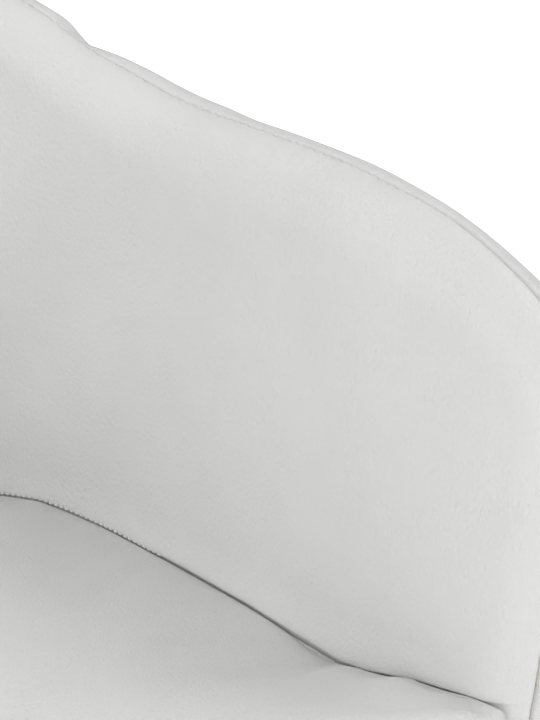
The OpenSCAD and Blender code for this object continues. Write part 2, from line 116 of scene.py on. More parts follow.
def grid_faces(ni, nj, wrap_j=False, flip=False, start=0):
    faces = []
    for i in range(ni - 1):
        for j in range(nj if wrap_j else nj - 1):
            a, b = start + i*nj + j, start + i*nj + (j + 1) % nj
            quad = (a, b, b + nj, a + nj)
            faces.append(quad[::-1] if flip else quad)
    return faces


def sheet_solid(name, P, N, thickness, material):
    """A closed padded sheet: the grid P, its normals N, and a second face set in by thickness."""
    ni, nj = P.shape[:2]
    back = P - N*thickness
    points = np.concatenate([P.reshape(-1, 3), back.reshape(-1, 3)])
    faces = grid_faces(ni, nj) + grid_faces(ni, nj, flip=True, start=ni*nj)
    m = ni*nj
    for i in range(ni - 1):
        a, b = i*nj, (i + 1)*nj
        faces.append((a, b, m + b, m + a))
        a, b = i*nj + nj - 1, (i + 1)*nj + nj - 1
        faces.append((b, a, m + a, m + b))
    for j in range(nj - 1):
        faces.append((j + 1, j, m + j, m + j + 1))
        a = (ni - 1)*nj + j
        faces.append((a, a + 1, m + a + 1, m + a))
    return mesh_object(name, points, faces, material)


def grid_normals(P):
    """Normals of a grid, from d/dj x d/di."""
    di = np.gradient(P, axis=0)
    dj = np.gradient(P, axis=1)
    return unit(np.cross(dj, di))


def resample(P, step):
    """The polyline P at even steps of about step mm."""
    seg = np.r_[0, np.cumsum(np.linalg.norm(np.diff(P, axis=0), axis=1))]
    n = max(2, int(round(seg[-1]/step)) + 1)
    at = np.linspace(0, seg[-1], n)
    return np.stack([np.interp(at, seg, P[:, k]) for k in range(P.shape[1])], axis=1)


# ---------------------------------------------------------------- materials

def new_material(name):
    m = bpy.data.materials.new(name)
    m.use_nodes = True
    nt = m.node_tree
    nt.nodes.clear()
    out = nt.nodes.new("ShaderNodeOutputMaterial")
    bsdf = nt.nodes.new("ShaderNodeBsdfPrincipled")
    nt.links.new(bsdf.outputs[0], out.inputs[0])
    coord = nt.nodes.new("ShaderNodeTexCoord")
    return m, nt, bsdf, coord.outputs["Object"]


def node(nt, kind, **values):
    n = nt.nodes.new(kind)
    for k, v in values.items():
        if k in n.inputs:
            n.inputs[k].default_value = v
        else:
            setattr(n, k, v)
    return n


def mapped(nt, coord, scale):
    m = node(nt, "ShaderNodeMapping")
    m.inputs["Scale"].default_value = scale
    nt.links.new(coord, m.inputs["Vector"])
    return m.outputs[0]


def noise_tex(nt, vec, scale, detail=2.0, rough=0.5, distortion=0.0):
    n = node(nt, "ShaderNodeTexNoise", Scale=scale, Detail=detail, Roughness=rough, Distortion=distortion)
    nt.links.new(vec, n.inputs["Vector"])
    return n.outputs["Fac"]


def voronoi(nt, vec, scale):
    n = node(nt, "ShaderNodeTexVoronoi", Scale=scale)
    nt.links.new(vec, n.inputs["Vector"])
    return n.outputs["Distance"]


def ramp(nt, fac, stops):
    r = nt.nodes.new("ShaderNodeValToRGB")
    e = r.color_ramp.elements
    while len(e) < len(stops):
        e.new(0.5)
    for k, (pos, col) in enumerate(stops):
        e[k].position = pos
        e[k].color = (*col, 1.0) if len(col) == 3 else col
    nt.links.new(fac, r.inputs["Fac"])
    return r.outputs["Color"]


def math_node(nt, op, a, b):
    n = nt.nodes.new("ShaderNodeMath")
    n.operation = op
    for k, v in enumerate((a, b)):
        if isinstance(v, (int, float)):
            n.inputs[k].default_value = v
        else:
            nt.links.new(v, n.inputs[k])
    return n.outputs[0]


def remap(nt, value, lo, hi, in_lo=0.0, in_hi=1.0):
    n = nt.nodes.new("ShaderNodeMapRange")
    n.inputs["From Min"].default_value = in_lo
    n.inputs["From Max"].default_value = in_hi
    n.inputs["To Min"].default_value = lo
    n.inputs["To Max"].default_value = hi
    nt.links.new(value, n.inputs["Value"])
    return n.outputs[0]


def bump_chain(nt, bsdf, layers):
    """layers: (height socket, distance in metres, strength), coarse to fine."""
    normal = None
    for height, distance, strength in layers:
        b = node(nt, "ShaderNodeBump")
        b.inputs["Distance"].default_value = distance
        b.inputs["Strength"].default_value = strength
        nt.links.new(height, b.inputs["Height"])
        if normal is not None:
            nt.links.new(normal, b.inputs["Normal"])
        normal = b.outputs[0]
    nt.links.new(normal, bsdf.inputs["Normal"])


def leatherette(name, colour, stretch, rough=0.44):
    """White coated fabric: pebble grain about 1 mm across, drawn out along one way, with faint creases, and
    painted shade in the grain's hollows.
    """
    m, nt, bsdf, co = new_material(name)
    warp = node(nt, "ShaderNodeTexNoise", Scale=260.0, Detail=2.0)
    nt.links.new(co, warp.inputs["Vector"])
    mix = nt.nodes.new("ShaderNodeVectorMath")
    mix.operation = "MULTIPLY_ADD"
    nt.links.new(warp.outputs["Color"], mix.inputs[0])
    mix.inputs[1].default_value = (0.0011, 0.0011, 0.0011)
    nt.links.new(co, mix.inputs[2])
    vec = mapped(nt, mix.outputs[0], stretch)
    cells = voronoi(nt, vec, 860.0)
    fine = noise_tex(nt, vec, 1500.0, 3.0, 0.6)
    creases = noise_tex(nt, mapped(nt, co, (1.0, 1.0, 0.35)), 150.0, 3.0, 0.6, 0.6)
    patches = noise_tex(nt, co, 14.0, 3.0, 0.55)
    depth = remap(nt, noise_tex(nt, co, 30.0, 2.0), 0.55, 1.25, 0.3, 0.7)
    dome = math_node(nt, "SUBTRACT", 1.0, math_node(nt, "MULTIPLY", cells, cells))
    pebble = math_node(nt, "MULTIPLY", dome, depth)
    bump_chain(nt, bsdf, [(creases, 0.0011, 0.05), (pebble, 0.00048, 0.5), (fine, 0.00012, 0.3)])
    lo = tuple(c*0.965 for c in colour)
    hi = tuple(min(1.0, c*1.01) for c in colour)
    base = ramp(nt, patches, [(0.3, lo), (0.7, hi)])
    # painted shade: the pebble's hollows are coloured up to 6% darker, mixed in at 0.35, standing in for the
    # shade inside the grain
    dark = ramp(nt, pebble, [(0.0, tuple(c*0.94 for c in colour)), (0.35, colour)])
    mixc = node(nt, "ShaderNodeMix", data_type="RGBA", blend_type="MULTIPLY")
    mixc.inputs[0].default_value = 0.35
    nt.links.new(base, mixc.inputs[6])
    nt.links.new(dark, mixc.inputs[7])
    nt.links.new(mixc.outputs[2], bsdf.inputs["Base Color"])
    uneven = remap(nt, math_node(nt, "ADD", patches, fine), rough - 0.05, rough + 0.08, 0.6, 1.4)
    nt.links.new(uneven, bsdf.inputs["Roughness"])
    bsdf.inputs["Specular IOR Level"].default_value = 0.42
    bsdf.inputs["Sheen Weight"].default_value = 0.06
    bsdf.inputs["Sheen Roughness"].default_value = 0.5
    return m


def metal(name, colour, rough, scratches=0.02, brushed=None):
    m, nt, bsdf, co = new_material(name)
    smudge = noise_tex(nt, co, 18.0, 4.0, 0.6)
    vec = mapped(nt, co, brushed) if brushed else co
    lines = noise_tex(nt, vec, 900.0, 3.0, 0.6)
    tint = ramp(nt, smudge, [(0.3, tuple(c*0.93 for c in colour)), (0.7, colour)])
    nt.links.new(tint, bsdf.inputs["Base Color"])
    bsdf.inputs["Metallic"].default_value = 1.0
    uneven = remap(nt, math_node(nt, "ADD", smudge, lines), rough*0.7, rough*1.5 + 0.02, 0.6, 1.4)
    nt.links.new(uneven, bsdf.inputs["Roughness"])
    bump_chain(nt, bsdf, [(lines, 0.00006, scratches*10)])
    return m


def plastic(name, colour, rough=0.45, texture=0.25, scale=1100.0, metallic=0.0):
    m, nt, bsdf, co = new_material(name)
    grain = noise_tex(nt, co, scale, 3.0, 0.6)
    wear = noise_tex(nt, co, 22.0, 4.0, 0.6)
    dark, light = tuple(c*0.82 for c in colour), tuple(min(1, c*1.2 + 0.004) for c in colour)
    nt.links.new(ramp(nt, wear, [(0.3, dark), (0.75, light)]), bsdf.inputs["Base Color"])
    nt.links.new(remap(nt, wear, rough - 0.07, rough + 0.1, 0.3, 0.7), bsdf.inputs["Roughness"])
    bsdf.inputs["Metallic"].default_value = metallic
    bump_chain(nt, bsdf, [(grain, 0.00012, texture)])
    return m


def plywood(name):
    m, nt, bsdf, co = new_material(name)
    plies = nt.nodes.new("ShaderNodeTexWave")
    plies.wave_type = "BANDS"
    plies.bands_direction = "Z"
    plies.inputs["Scale"].default_value = 105.0
    plies.inputs["Distortion"].default_value = 0.6
    plies.inputs["Detail"].default_value = 2.0
    nt.links.new(co, plies.inputs["Vector"])
    grain = noise_tex(nt, mapped(nt, co, (4.0, 60.0, 60.0)), 3.0, 6.0, 0.65, 0.8)
    tones = [(0.25, (0.42, 0.26, 0.13)), (0.55, (0.62, 0.43, 0.25)), (0.8, (0.72, 0.55, 0.36))]
    colour = ramp(nt, grain, tones)
    mixc = node(nt, "ShaderNodeMix", data_type="RGBA", blend_type="MULTIPLY")
    mixc.inputs[0].default_value = 0.35
    nt.links.new(colour, mixc.inputs[6])
    layers = ramp(nt, plies.outputs["Color"], [(0.35, (0.55, 0.4, 0.28)), (0.65, (1, 1, 1))])
    nt.links.new(layers, mixc.inputs[7])
    nt.links.new(mixc.outputs[2], bsdf.inputs["Base Color"])
    bsdf.inputs["Roughness"].default_value = 0.65
    bump_chain(nt, bsdf, [(grain, 0.0003, 0.4)])
    return m


def foam_material(name):
    m, nt, bsdf, co = new_material(name)
    cells = voronoi(nt, co, 620.0)
    tone = noise_tex(nt, co, 25.0, 3.0)
    yellow = ramp(nt, tone, [(0.3, (0.78, 0.72, 0.52)), (0.7, (0.86, 0.81, 0.63))])
    nt.links.new(yellow, bsdf.inputs["Base Color"])
    bsdf.inputs["Roughness"].default_value = 0.95
    bump_chain(nt, bsdf, [(cells, 0.0009, 0.8)])
    return m


def felt_material(name, colour):
    m, nt, bsdf, co = new_material(name)
    fibres = noise_tex(nt, mapped(nt, co, (1.0, 0.25, 1.0)), 900.0, 5.0, 0.7, 1.5)
    weave = noise_tex(nt, mapped(nt, co, (0.3, 1.0, 1.0)), 700.0, 4.0, 0.7, 1.5)
    both = math_node(nt, "ADD", fibres, weave)
    dark, light = tuple(c*0.6 for c in colour), tuple(c*1.7 + 0.01 for c in colour)
    nt.links.new(ramp(nt, both, [(0.35, dark), (0.75, light)]), bsdf.inputs["Base Color"])
    bsdf.inputs["Roughness"].default_value = 0.95
    bsdf.inputs["Sheen Weight"].default_value = 0.3
    bump_chain(nt, bsdf, [(both, 0.0006, 0.7)])
    return m


WHITE = (0.76, 0.76, 0.755)
MATS = {
    "panel": leatherette("white_leatherette_panel", WHITE, (1.0, 1.0, 0.55)),
    "seat": leatherette("white_leatherette_seat", WHITE, (0.85, 1.0, 1.0)),
    "band": leatherette("white_leatherette_band", WHITE, (1.0, 0.7, 1.0)),
    "thread": plastic("white_thread", (0.70, 0.70, 0.69), 0.6, 0.4, 2500.0),
    "polished_metal": metal("chrome", (0.80, 0.81, 0.82), 0.07),
    "polished_aluminium": metal("polished_aluminium", (0.76, 0.765, 0.77), 0.15, 0.03),
    "bearing_steel": metal("ground_steel", (0.62, 0.63, 0.65), 0.22, 0.04, (1, 1, 12)),
    "zinc_steel": metal("zinc_plate", (0.66, 0.67, 0.69), 0.34, 0.05),
    "black_steel": plastic("black_powder_coat", (0.022, 0.022, 0.024), 0.42, 0.5, 1600.0, 0.3),
    "black_plastic": plastic("black_nylon", (0.018, 0.018, 0.019), 0.42, 0.35),
    "cage_plastic": plastic("natural_nylon", (0.62, 0.55, 0.38), 0.5),
    "wheel_polyurethane": plastic("grey_polyurethane", (0.075, 0.076, 0.08), 0.5, 0.2, 700.0),
    "rubber": plastic("black_rubber", (0.02, 0.02, 0.02), 0.7, 0.4, 500.0),
    "plywood": plywood("birch_plywood"),
    "foam": foam_material("cut_foam"),
    "felt": felt_material("dust_cloth", (0.035, 0.035, 0.038)),
}


# ---------------------------------------------------------------- the tub wall's surface

def rim_h(y):
    d = np.maximum(0, NOSE_L - ARM - y)/NOSE_L
    rise = ARM_RISE + (BACK_RISE - ARM_RISE)*smooth((y - SWEEP[0])/(SWEEP[1] - SWEEP[0]))
    return rise - NOSE_H*(1 - np.maximum(0, 1 - d**NOSE_N)**(1/NOSE_N))


def back_points(deg):
    a = np.radians(deg)
    s, c = np.sin(a), np.maximum(0, np.cos(a))
    x = SEAT_HW*np.sign(s)*np.abs(s)**(2/PLAN_N)
    y = BACK*c**(2/PLAN_N)
    n = np.stack([np.sign(s)*(np.abs(x)/SEAT_HW)**(PLAN_N - 1)/SEAT_HW, (y/BACK)**(PLAN_N - 1)/BACK], axis=1)
    return x, y, unit(n)


def plan_table():
    """Rows [sigma, x, y, nx, ny, share] from the right arm's front round the back to the left arm's front."""
    b = np.radians(np.linspace(0, 90, 61))
    one, none = np.ones(61), np.zeros(61)
    nose = np.stack([one*SEAT_HW, -ARM + WALL_R*(1 - np.cos(b)), one, none, np.sin(b)], axis=1)
    y = np.arange(-ARM + WALL_R + 1, -0.5, 1.0)
    arm = np.stack([np.full(len(y), SEAT_HW), y, np.ones(len(y)), np.zeros(len(y)), np.ones(len(y))], axis=1)
    x, yb, n = back_points(90*np.sin(np.radians(np.linspace(90, -90, 721))))
    back = np.stack([x, yb, n[:, 0], n[:, 1], np.ones(len(x))], axis=1)
    left = np.concatenate([nose, arm])[::-1]*np.array([-1, 1, -1, 1, 1])
    rows = np.concatenate([nose, arm, back, left])
    mid = rows[:, :2] + rows[:, 2:4]*WALL_R
    step = np.linalg.norm(np.diff(mid, axis=0), axis=1)
    step[:60] = WALL_R*np.diff(b)
    step[-60:] = WALL_R*np.diff(b)[::-1]
    sigma = np.r_[0, np.cumsum(step)]
    keep = np.r_[True, np.diff(sigma) > 1e-6]
    return np.column_stack([sigma, rows])[keep]


PLAN = plan_table()
S_END = PLAN[-1, 0]


def plan_at(s):
    c = [np.interp(s, PLAN[:, 0], PLAN[:, k]) for k in range(1, 6)]
    g = np.hypot(c[2], c[3])
    return c[0], c[1], c[2]/g, c[3]/g, c[4]


def straight_h(s, bottom):
    _, y, _, _, _ = plan_at(s)
    return rim_h(y) - WALL_R - (bottom - CREASE)


ARC_MM = math.pi*WALL_R


def wall(s, t, bottom):
    """Point of the wall at plan position s, t mm up its inner face, over the rim and down the outside."""
    x, y, nx, ny, g = plan_at(s)
    r = WALL_R
    spring = rim_h(y) - r
    low = bottom - CREASE
    up = spring - low
    over = np.clip((t - up)/ARC_MM, 0, 1)
    arc = math.pi*(1 - over)
    outside = np.where(t > up + ARC_MM, spring - (t - up - ARC_MM), spring + r*np.sin(arc))
    h = np.where(t < up, low + t, outside)
    o = LEAN*h + r + g*r*np.cos(arc)
    return np.stack([x + nx*o, y + ny*o, CREASE + h], axis=-1)


def wall_normal(s, t, bottom):
    e = 0.6
    ds = wall(np.clip(s + e, 0.4, S_END - 0.4), t, bottom) - wall(np.clip(s - e, 0.4, S_END - 0.4), t, bottom)
    dt = wall(s, t + e, bottom) - wall(s, t - e, bottom)
    return unit(np.cross(dt, ds))


FRONT_S = WALL_R*math.radians(FRONT_SEAM)
SEAM_R = 24.0                          # how tightly a seam turns down at an arm's front


def seam_drop(x):
    x = np.clip(x, 0, SEAM_R)
    return SEAM_R - np.sqrt(np.maximum(0, SEAM_R**2 - (SEAM_R - x)**2))


def smooth_curve(points, blur=5.0):
    """A function of y through [y, value] rows, rounded over about blur mm."""
    ys, vs = np.array(sorted(points), float).T
    fine = np.arange(-260.0, 320.0, 1.0)
    k = np.exp(-(np.arange(-20, 21)/blur)**2)
    table = np.convolve(np.pad(np.interp(fine, ys, vs), 20, mode="edge"), k/k.sum(), mode="valid")
    return lambda y: np.interp(y, fine, table)


# how far the right arm's inner seam wanders across the crest, in mm of arc, as [y, wander]
seam_wander = smooth_curve([
    (-165, 0.4), (-133, 1.6), (-110, 3.4), (-78, 1.7), (-58, 2.4), (-25, 1.3), (20, 1.5),
    (48, 3.0), (64, 2.9), (80, -0.2), (88, 0.6), (100, 3.6), (135, 2.0), (160, 0.0)
], 3.5)
# height over the crease at which the cushion meets the wall along the right arm, as [y, height]
crease_line = smooth_curve([
    (-190, 21.0), (-163, 17.0), (-136, 10.3), (-112, 2.4), (-98, 0.0), (-68, 0.7), (-44, 2.0),
    (27, 1.6), (65, 2.8), (91, 4.6), (120, 3.0), (160, 2.0)
], 3.0)
# how far the band stands off its even curve along the right arm, as [y, fullness]
band_fullness = smooth_curve([
    (-200, 0.0), (-160, -3.9), (-134, -3.6), (-98, -1.4), (-60, -0.6), (-20, -0.8), (5, -0.9),
    (25, 0.9), (66, 1.3), (76, 0.6), (84, -0.4), (93, -2.4), (101, -4.9), (109, -2.6),
    (116, 0.2), (150, 0.0)
], 3.0)


def band_wander(s):
    """How far the inner seam wanders across the crest, in mm of arc."""
    y = plan_at(s)[1]
    return np.where(s < S_END/2, seam_wander(y), 0.6) + 0.35*noise2(s/37.0, s*0, 3)


def inner_top(s, bottom):
    """t of the inner seam at plan position s."""
    x = np.minimum(s, S_END - s) - FRONT_S
    return straight_h(s, bottom) + (SEAM_IN - 1)*ARC_MM + band_wander(s) - seam_drop(x)


def outer_down(s, bottom):
    """Length down the outside from the outer seam to the bottom edge."""
    x = np.minimum(s, S_END - s) - FRONT_S
    return straight_h(s, bottom) + (2 - SEAM_OUT)*ARC_MM - seam_drop(x)


EDGE = [0, 0.1, 0.22, 0.38, 0.6, 0.9, 1.35, 2.0, 2.9, 4.0, 5.4, 7.2, 9.2]


def columns(step):
    """Plan positions of a panel's columns: fine at its front edges, then even."""
    near = FRONT_S + np.array(EDGE)
    start, stop = near[-1] + step*0.8, S_END - near[-1] - step*0.8
    even = np.linspace(start, stop, int((stop - start)/step))
    return np.concatenate([near, even, (S_END - near)[::-1]])


def rows(length, fine_end, step, coarse):
    """Distances down from a seam: fine at the seam, even to fine_end, then coarse to the full length."""
    near = np.array(EDGE)
    even = np.arange(near[-1] + step, fine_end, step)
    head = np.concatenate([near, even])
    rest = length[:, None] - head[-1]
    n = max(2, int(np.max(rest)/coarse))
    frac = np.linspace(0, 1, n + 1)[1:]
    return np.concatenate([np.broadcast_to(head, (len(length), len(head))), head[-1] + rest*frac], axis=1)


LINE_ROWS = np.array([-16, -12.5, -9.5, -7.2, -5.4, -4, -3, -2.2, -1.6, -1.1,
                      -0.7, -0.3, 0.1, 0.5, 0.9, 1.4, 2.1, 3.2, 5, 8])
TAIL_ROWS = 5                          # rows below those, down to the panel's lower edge
LINE_AT = 9                            # place in LINE_ROWS, from its end, of the row the stitches lie on


def inner_rows(length, to_line):
    """Rows for the inner panel: fine at the seam, even down the wall, fine again by the cushion."""
    head = np.concatenate([EDGE, np.arange(EDGE[-1] + 2.3, 74, 2.3)])
    start, stop = head[-1], to_line[:, None] + LINE_ROWS[0]
    n = int(np.max(stop - start)/3.2)
    middle = start + (stop - start)*np.linspace(0, 1, n + 1)[None, 1:-1]
    near = to_line[:, None] + LINE_ROWS
    tail = near[:, -1:] + (length[:, None] - near[:, -1:])*np.linspace(0, 1, TAIL_ROWS + 1)[None, 1:]
    return np.concatenate([np.broadcast_to(head, (len(length), len(head))), middle, near, tail], axis=1)


def seam_distance(P, seam):
    """Distance from each point of the grid P to the nearest point of a seam."""
    tree = kdtree.KDTree(len(seam))
    for k, p in enumerate(seam):
        tree.insert(p, k)
    tree.balance()
    flat = P.reshape(-1, 3)
    return np.array([tree.find(p)[2] for p in flat]).reshape(P.shape[:-1])


# the rolled lower edge of the inner panel: [height over the crease line, how far it stands out]
LIP = [(-8, -0.5), (-3, -0.5), (-1.7, -0.3), (-1.0, 0.5), (-0.4, 1.6), (0.2, 2.1),
       (1.0, 2.35), (2.0, 2.4), (3.5, 2.2), (6, 1.5), (10, 0.6), (15, 0)]
STITCH = 4.7                           # stitch length along the seams
LINE_STITCH = 3.3                      # stitch length along the panel's lower edge


def seam_groove(distance, s, y, right):
    """Depth of the groove beside a seam: drawn in at each stitch, open towards the right arm's front."""
    opened = np.where(right, smooth((-84 - y)/42), 0.3)
    firm = np.where(right, smooth((70 - y)/110), 0.7)
    pulse = smooth(0.5 + 0.9*np.cos(2*math.pi*s/STITCH))
    depth = 0.45 + firm*0.4 + 1.35*pulse*(1 - opened) + 3.3*opened
    width = 0.3 + 0.12*firm + 0.6*opened + 0.34*pulse*(1 - opened)
    return depth*np.exp(-(distance/width)**1.5)


def panel(name, side, step, fine_end, coarse, material):
    """The inner or outer cover of the tub: side is -1 for the inner face and 1 for the outer."""
    bottom = WALL_BOTTOM if side < 0 else TUB_BOTTOM
    s = columns(step)
    length = inner_top(s, bottom) if side < 0 else outer_down(s, bottom)
    meet = crease_line(plan_at(s)[1])
    to_line = length - (meet + CREASE - bottom)
    d = inner_rows(length, to_line) if side < 0 else rows(length, fine_end, step, coarse)
    S = np.broadcast_to(s[:, None], d.shape)
    full = straight_h(s, bottom)[:, None]
    T = length[:, None] - d if side < 0 else 2*full + ARC_MM - (length[:, None] - d)
    P = wall(S, T, bottom)
    N = wall_normal(S, T, bottom)
    down = np.linspace(0, length[0], 60)
    corner = wall(np.full(60, FRONT_S), down if side < 0 else 2*full[0] + ARC_MM - down, bottom)
    seam = np.concatenate([corner, P[:, 0], corner[::-1]*np.array([-1, 1, 1])])
    dist = seam_distance(P, resample(seam, 1.0))
    y = P[..., 1]
    right = P[..., 0] > 0
    lift = np.zeros_like(dist)
    if side < 0:
        lift -= seam_groove(dist, S, y, right) + 0.35*np.exp(-dist/5.0)
        # puckers running down from the seam, longer towards the arm's front
        slant = S + 0.45*dist
        reach = np.exp(-dist/(15.0 + 5.0*smooth((60 - y)/160)))
        rise = smooth(dist/2.2)
        strength = 0.55 + 0.5*noise2(S/46.0, dist/50.0, 11)
        pucker = 0.26*noise2(slant/3.1, dist/22.0, 12) + 0.20*noise2(slant/6.7 + 9, dist/34.0, 13)
        lift += reach*rise*strength*pucker
        lift += 0.10*rise*np.exp(-dist/4.5)*noise2(slant/1.7, dist/9.0, 14)
        # the panel's lower edge rolls over and tucks in behind the cushion
        above = to_line[:, None] - d
        lip = np.interp(above, *np.transpose(LIP))
        stitched = smooth((y - 20)/35)
        lip *= 1 - 0.45*stitched
        lip += stitched*0.5*np.exp(-((above - 0.5)/1.5)**2)*(0.5 + 0.5*np.cos(2*math.pi*S/LINE_STITCH))
        lift += lip*smooth((y + 188)/14)
        # fullness of the padding, slow waves and a flatter back
        lift += 1.1*smooth(dist/40)*noise2(S/88.0, T/76.0, 15)
        lift += 0.45*smooth(dist/26)*noise2(S/33.0, T/52.0, 16)
    else:
        lift -= seam_groove(dist, S, 0*y, right) + 0.4*np.exp(-dist/5.0)
        lift += np.exp(-dist/14)*smooth(dist/2.2)*0.22*noise2(S/3.6, dist/22.0, 21)
        lift += 0.7*smooth(dist/30)*noise2(S/95.0, T/90.0, 22)
    P = P + N*lift[..., None]
    obj = sheet_solid(name, P, N, COVER_T, material)
    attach(obj, "seat")
    return obj, P, N


def stitch_line(name, at, N, length, radius, material):
    """Short rounded stitches along the points at, each lying along the line on the side of the normals N."""
    T = unit(np.gradient(at, axis=0))
    rings = [(-0.5, 0.15), (-0.42, 0.7), (-0.22, 1.0), (0.22, 1.0), (0.42, 0.7), (0.5, 0.15)]
    a = np.linspace(0, 2*math.pi, 8, endpoint=False)
    pts, faces = [], []
    for p, t, n in zip(at, T, N):
        b = np.cross(t, n)
        base = len(pts)
        for along, r in rings:
            for angle in a:
                pts.append(p + t*along*length + (n*math.cos(angle) + b*math.sin(angle))*radius*r)
        faces += grid_faces(len(rings), 8, wrap_j=True, start=base)
        faces.append(tuple(base + k for k in range(7, -1, -1)))
        faces.append(tuple(base + (len(rings) - 1)*8 + k for k in range(8)))
    obj = mesh_object(name, pts, faces, material)
    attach(obj, "seat")
    return obj


def arc_between(A, B, ta, tb, v):
    """Bulging arcs from points A to B with start and end tangents ta, tb, at the shares v of each arc."""
    cosine = np.clip(np.sum(ta*tb, axis=1), -0.99, 0.9999)
    theta = np.arccos(cosine)
    chord = np.linalg.norm(B - A, axis=1)
    radius = chord/(2*np.sin(np.maximum(theta, 0.05)/2))
    handle = (4/3*np.tan(theta/4)*radius)[:, None]
    w = [(1 - v)**3, 3*v*(1 - v)**2, 3*v*v*(1 - v), v**3]
    c = [A, A + ta*handle, B - tb*handle, B]
    return sum(c[k][:, None]*w[k][None, :, None] for k in range(4))


def seam_frame(s, t, bottom):
    """Points, outward normals and across directions along a seam given by arrays s and t."""
    P = wall(s, t, bottom)
    N = wall_normal(s, t, bottom)
    T = unit(np.gradient(P, axis=0))
    return P, N, unit(np.cross(T, N))


def rim_band(material):
    """The strip between the two seams: along the rim and down the front of each arm."""
    bottom = TUB_BOTTOM
    turn = SEAM_R*(1 - np.cos(np.radians(np.linspace(0, 90, 16))))
    x = np.concatenate([turn, np.arange(SEAM_R + 1.2, S_END/2 - FRONT_S, 1.2)])
    s = np.concatenate([FRONT_S + x, (S_END - FRONT_S - x)[::-1]])
    full = straight_h(s, bottom)
    t_in = inner_top(s, bottom)
    t_out = 2*full + ARC_MM - outer_down(s, bottom)
    lead = 46                              # points of each seam down the front of an arm
    low_in = np.linspace(0, t_in[0], lead)[:-1]
    low_out = 2*full[0] + ARC_MM - np.linspace(0, outer_down(s[:1], bottom)[0], lead)[:-1]
    s_all = np.concatenate([np.full(lead - 1, s[0]), s, np.full(lead - 1, s[-1])])
    tin = np.concatenate([low_in, t_in, low_in[::-1]])
    tout = np.concatenate([low_out, t_out, low_out[::-1]])
    A, NA, CA = seam_frame(s_all, tin, bottom)
    B, NB, CB = seam_frame(s_all, tout, bottom)
    # across directions point from the inner seam to the outer one
    CA = CA*np.sign(np.sum(CA*(B - A), axis=1))[:, None]
    CB = CB*np.sign(np.sum(CB*(B - A), axis=1))[:, None]
    half = np.array([0, 0.012, 0.03, 0.06, 0.10, 0.16, 0.23, 0.31, 0.4])
    across = np.concatenate([half, [0.5], 1 - half[::-1]])
    pitch = low_in[1] - low_in[0]
    sigma = np.concatenate([s[0] - np.arange(lead - 1, 0, -1)*pitch, s, s[-1] + np.arange(1, lead)*pitch])
    G = arc_between(A, B, CA, CB, across)
    N = grid_normals(G)
    mid = len(across)//2
    if np.sum(N[len(N)//2, mid]*(NA[len(N)//2] + NB[len(N)//2])) < 0:
        N = -N
    width = np.linalg.norm(np.diff(G, axis=1), axis=2).sum(1)[:, None]
    d1, d2 = across[None]*width, (1 - across[None])*width
    S = np.broadcast_to(np.r_[0, np.cumsum(np.linalg.norm(np.diff(A, axis=0), axis=1))][:, None], d1.shape)
    y, right = A[:, 1][:, None], (A[:, 0] > 0)[:, None]
    lift = -seam_groove(d1, sigma[:, None], y, right) - seam_groove(d2, sigma[:, None], 0*y, right)
    near = np.minimum(d1, d2)
    lift += 0.5*smooth(near/9)
    pucker = 0.13*noise2(S/4.1, d1/15.0, 31) + 0.07*noise2(S/2.1, d1/8.0, 32)
    lift += smooth(near/1.6)*np.exp(-near/7.0)*pucker
    lift += 0.14*smooth(near/6)*noise2(S/31.0, d1/20.0, 33)
    # a tuck in the padding where the arm starts to climb to the back
    profile = 4*across[None]*(1 - across[None])
    lift += np.where(right, band_fullness(y), -0.8)*profile**0.6
    P = G + N*lift[..., None]
    facing = np.cross(P[50, mid] - P[50, mid - 1], P[51, mid] - P[50, mid])
    if np.dot(facing, N[50, mid]) < 0:
        P, N = P[::-1], N[::-1]
    obj = sheet_solid("tub_rim_band", P, N, COVER_T, material)
    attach(obj, "seat")
    return obj


def tub_filling(material):
    """The foam inside the wall's covers, kept clear of the tucks in the band."""
    s = columns(7.0)
    full = straight_h(s, WALL_BOTTOM)
    top = full + ARC_MM/2
    t = np.linspace(0, 1, 44)[None]*(2*full + ARC_MM)[:, None]
    S = np.broadcast_to(s[:, None], t.shape)
    P = wall(S, t, WALL_BOTTOM)
    N = wall_normal(S, t, WALL_BOTTOM)
    depth = 3.2 + 6.8*np.exp(-((t - top[:, None] - 12)/30)**2)
    P = P - N*depth[..., None]
    obj = sheet_solid("tub_foam_fill", P, N, 7.0, material)
    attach(obj, "seat")
    return obj


inner_panel, inner_P, inner_N = panel("tub_inner_panel", -1, 1.15, 75.0, 3.4, MATS["panel"])
row = inner_P.shape[1] - TAIL_ROWS - LINE_AT
line = np.hstack([inner_P[:, row], inner_N[:, row]])
points = resample(line[line[:, 1] > 14], LINE_STITCH)
sunk = points[:, :3] - points[:, 3:]*0.25 - [0, 0, 0.35]
crease_stitches = stitch_line("crease_stitches", sunk, points[:, 3:], 2.2, 0.58, MATS["thread"])
outer_panel = panel("tub_outer_panel", 1, 4.0, 40.0, 7.0, MATS["panel"])[0]
band = rim_band(MATS["band"])
filling = tub_filling(MATS["foam"])
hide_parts("tub_foam")
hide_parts("inner_cover")
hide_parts("outer_cover")
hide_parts("rim_band")


# ---------------------------------------------------------------- seat cushion

SEAT_CORNER = 13.0
FRONT_TOP = 14.0                       # height of the front edge over the crease
FRONT_ROLL = (17.0, 24.0)              # depth and height of the rolled front edge
SIDE_TOP = -24.0                       # height over the crease at which the cushion's plain side ends
SIDE_SEAM = -20.8                      # height over the crease of the seam round the cushion's front
DOME_REACH = 138.0                     # how far in from the edge the top still rises
HALF_DEPTH = 190.0                     # from the edge to the middle of the top


